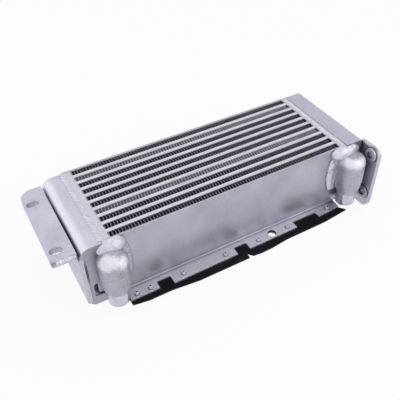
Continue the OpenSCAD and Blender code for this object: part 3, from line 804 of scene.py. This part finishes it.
def softbox(name, w, towards, size, power, tint):
    """A rectangular lamp at a W place, aimed at another."""
    data = bpy.data.lights.new(name, "AREA")
    data.shape, data.size, data.size_y = "RECTANGLE", size[0], size[1]
    data.energy, data.color = power, tint
    lamp = bpy.data.objects.new(name, data)
    lamp.location = metres(w)
    aim = Vector(metres(towards)) - Vector(metres(w))
    lamp.rotation_euler = aim.to_track_quat("-Z", "Y").to_euler()
    bpy.context.scene.collection.objects.link(lamp)


def seen_or_mirrored(tree, share):
    """The share of a white backdrop that camera, glossy and see-through rays get, and no others."""
    path = tree.nodes.new("ShaderNodeLightPath")
    total = path.outputs["Is Camera Ray"]
    for kind in ("Is Glossy Ray", "Is Transmission Ray"):
        both = tree.nodes.new("ShaderNodeMath")
        both.operation = "MAXIMUM"
        tree.links.new(total, both.inputs[0])
        tree.links.new(path.outputs[kind], both.inputs[1])
        total = both.outputs[0]
    part = tree.nodes.new("ShaderNodeMath")
    part.operation = "MULTIPLY"
    part.inputs[1].default_value = share
    tree.links.new(total, part.inputs[0])
    return part.outputs[0]


def world():
    """White to the camera and in reflections; a soft pale sky, brighter above, for the light."""
    made = bpy.data.worlds.new("studio")
    bpy.context.scene.world = made
    made.use_nodes = True
    tree = made.node_tree
    tree.nodes.clear()
    join = tree.links.new
    out = tree.nodes.new("ShaderNodeOutputWorld")
    mix = tree.nodes.new("ShaderNodeMixShader")
    white = tree.nodes.new("ShaderNodeBackground")
    white.inputs["Color"].default_value = (1, 1, 1, 1)
    sky = tree.nodes.new("ShaderNodeBackground")
    coord = tree.nodes.new("ShaderNodeTexCoord")
    split = tree.nodes.new("ShaderNodeSeparateXYZ")
    ramp = tree.nodes.new("ShaderNodeValToRGB")
    steps = ramp.color_ramp.elements
    steps[0].position, steps[0].color = 0.0, (0.30, 0.30, 0.36, 1)
    steps[1].position, steps[1].color = 0.7, (0.95, 0.95, 1.02, 1)
    join(coord.outputs["Generated"], split.inputs[0])
    join(split.outputs["Z"], ramp.inputs["Fac"])
    join(ramp.outputs["Color"], sky.inputs["Color"])
    join(seen_or_mirrored(tree, 1.0), mix.inputs["Fac"])
    join(sky.outputs[0], mix.inputs[1])
    join(white.outputs[0], mix.inputs[2])
    join(mix.outputs[0], out.inputs["Surface"])


def floor():
    """A pale floor that reads near white and keeps a faint contact shadow."""
    mesh = bpy.data.meshes.new("floor")
    low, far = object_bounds()[0].z - FLOOR_GAP, FLOOR_HALF
    corners = (-far, -far), (far, -far), (far, far), (-far, far)
    mesh.from_pydata([(x, y, low) for x, y in corners], [], [(0, 1, 2, 3)])
    mat = bpy.data.materials.new("floor")
    mat.use_nodes = True
    tree = mat.node_tree
    bsdf = tree.nodes["Principled BSDF"]
    bsdf.inputs["Base Color"].default_value = (0.82, 0.82, 0.84, 1)
    bsdf.inputs["Roughness"].default_value = 0.9
    bsdf.inputs["Specular IOR Level"].default_value = 0.0
    white = tree.nodes.new("ShaderNodeEmission")
    mix = tree.nodes.new("ShaderNodeMixShader")
    tree.links.new(seen_or_mirrored(tree, 0.9), mix.inputs["Fac"])
    tree.links.new(bsdf.outputs[0], mix.inputs[1])
    tree.links.new(white.outputs[0], mix.inputs[2])
    tree.links.new(mix.outputs[0], tree.nodes["Material Output"].inputs["Surface"])
    obj = bpy.data.objects.new("floor", mesh)
    mesh.materials.append(mat)
    bpy.context.scene.collection.objects.link(obj)
    obj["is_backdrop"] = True


# Assembly

bpy.context.scene.view_settings.view_transform = "Standard"
camera()
world()
floor()
softbox("key", (-260, 420, 620), (100, 50, 0), size=(0.9, 0.9), power=0.5, tint=(1.0, 0.99, 1.0))
softbox("fill", (520, -520, 420), (150, 0, -30), size=(0.8, 0.6), power=0.9, tint=(0.97, 0.97, 1.0))

for name, node in nodes.items():
    node.data.polygons.foreach_set("use_smooth", [False] * len(node.data.polygons))
    node.data.materials.clear()
    node.data.materials.append(PLATE if name == "rear_side_plate" else CORE)

for side in ("left", "right"):
    edged(side + "_tank", TANK, "tank", 0.35)
    for end in ("front", "rear"):
        edged(f"{side}_tank_{end}_cap", TANK, "tank", 0.35)
edged("left_bracket_plate", BRACKET, "bracket", 0.5)
edged("left_bracket_leg", BRACKET, "bracket", 0.4)
edged("right_bracket", EAR, "bracket", 0.7)
edged("weld_nuts", NUT, "bracket", 0.6)
edged("front_side_plate", PLATE, "plate", 0.2, segments=2)
edged("seal_left", RUBBER, "rubber", 0.4)
edged("seal_right", RUBBER, "rubber", 0.4)

for name, centre, behind in (("inlet", INLET, lambda x: x < -9), ("outlet", OUTLET, lambda x: x > 262)):
    elbow_pieces(name, name + "_elbow", centre, behind)
    core = elbow_core(centre, behind)
    weld(name + "_weld", pad_run, pitch=3.0, height=1.1, voxel=0.4, rounds=30, uneven=0.3, core=core)

weld("left_tank_weld", tank_run, pitch=3.3, height=0.8)
weld("right_tank_weld", tank_run, pitch=3.0, height=0.3)
weld("left_bracket_weld", bracket_run, pitch=2.3, height=0.4)
weld("right_bracket_weld", foot_run, pitch=2.6, height=0.35)

rivets()
for row in range(ROWS):
    fin_row(row)
